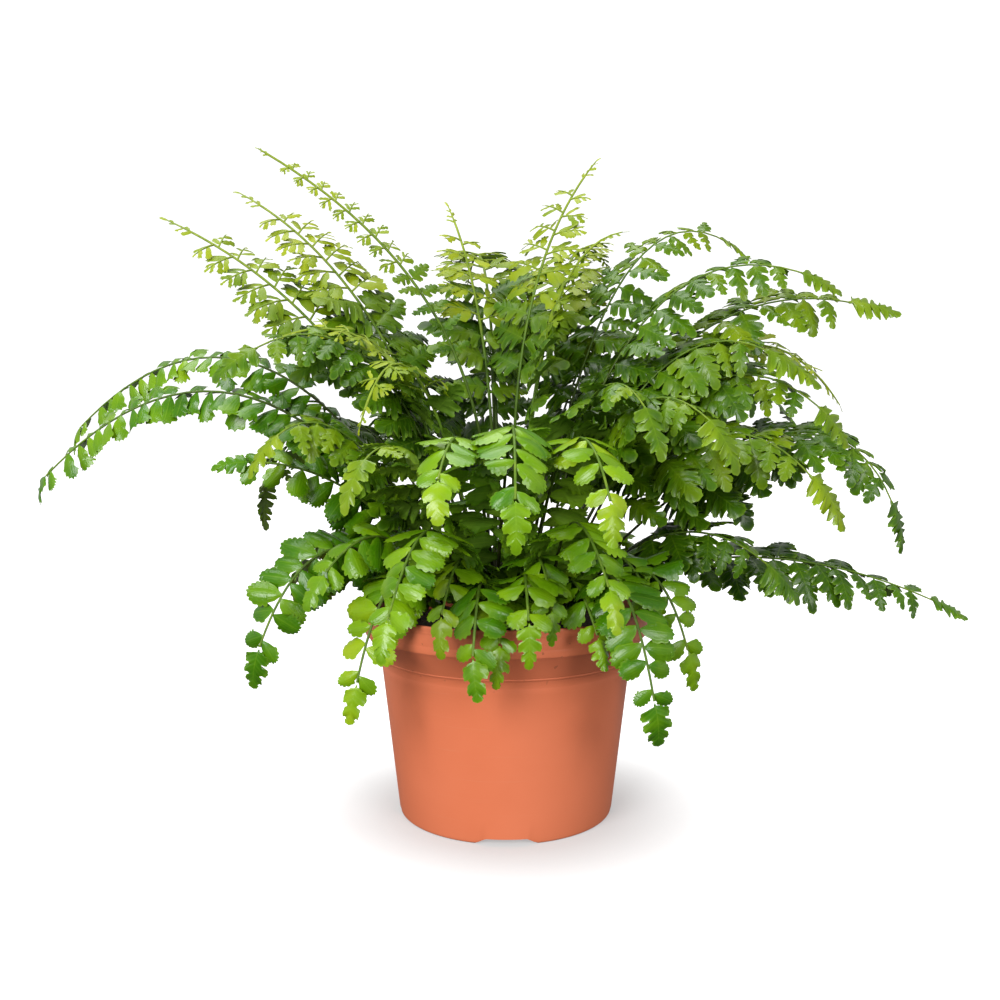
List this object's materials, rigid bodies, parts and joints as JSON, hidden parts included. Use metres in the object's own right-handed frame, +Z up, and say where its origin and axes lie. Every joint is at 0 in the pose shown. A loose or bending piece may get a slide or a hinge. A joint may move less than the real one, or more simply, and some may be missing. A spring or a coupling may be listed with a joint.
{
  "type": "potted fern",
  "caption": "Bushy fern with finely cut, arching fronds of dark and light green, growing in a round terracotta-coloured plastic nursery pot.",
  "frame": {"origin": "on the floor, on the pot's axis", "axes": "+Z up along the pot's axis, -Y towards the front of the plant, +X to its right"},
  "size_m": [0.4856, 0.3033, 0.3407],
  "materials": {
    "pot_plastic": "satin moulded terracotta-coloured plastic",
    "potting_soil": "damp dark brown potting mix",
    "rootstock": "rough blackish brown rootstock",
    "mature_green": "glossy deep green leaf",
    "young_green": "soft light green leaf",
    "leaflet_green": "glossy bright green leaf"
  },
  "bodies": {
    "root": {"pot": "pot_plastic", "soil": "potting_soil", "rhizome": "rootstock", "frond_01": "young_green", "frond_02": "young_green", "frond_03": "young_green", "frond_04": "young_green", "frond_05": "leaflet_green", "frond_06": "leaflet_green", "frond_07": "leaflet_green", "frond_08": "mature_green", "frond_09": "leaflet_green", "frond_10": "leaflet_green", "frond_11": "leaflet_green", "frond_12": "young_green", "frond_13": "mature_green", "frond_14": "leaflet_green", "frond_15": "leaflet_green", "frond_16": "leaflet_green", "frond_17": "leaflet_green", "frond_18": "leaflet_green", "frond_19": "leaflet_green", "frond_20": "leaflet_green", "frond_21": "mature_green", "frond_22": "leaflet_green", "frond_23": "leaflet_green", "frond_24": "mature_green", "frond_25": "mature_green", "frond_26": "mature_green", "frond_27": "mature_green", "frond_28": "mature_green", "frond_29": "mature_green", "frond_30": "mature_green", "frond_31": "young_green", "frond_32": "mature_green", "frond_33": "young_green", "frond_34": "young_green", "frond_35": "mature_green", "frond_36": "leaflet_green", "frond_37": "mature_green", "frond_38": "young_green", "frond_39": "mature_green", "frond_40": "leaflet_green", "frond_41": "mature_green", "frond_42": "young_green", "frond_43": "mature_green", "frond_44": "young_green", "frond_45": "leaflet_green", "frond_46": "mature_green", "frond_47": "mature_green", "frond_48": "leaflet_green", "frond_49": "leaflet_green", "frond_50": "leaflet_green", "frond_51": "leaflet_green", "frond_52": "leaflet_green", "frond_53": "leaflet_green", "frond_54": "mature_green", "frond_55": "mature_green", "frond_56": "mature_green"}
  },
  "joints": []
}
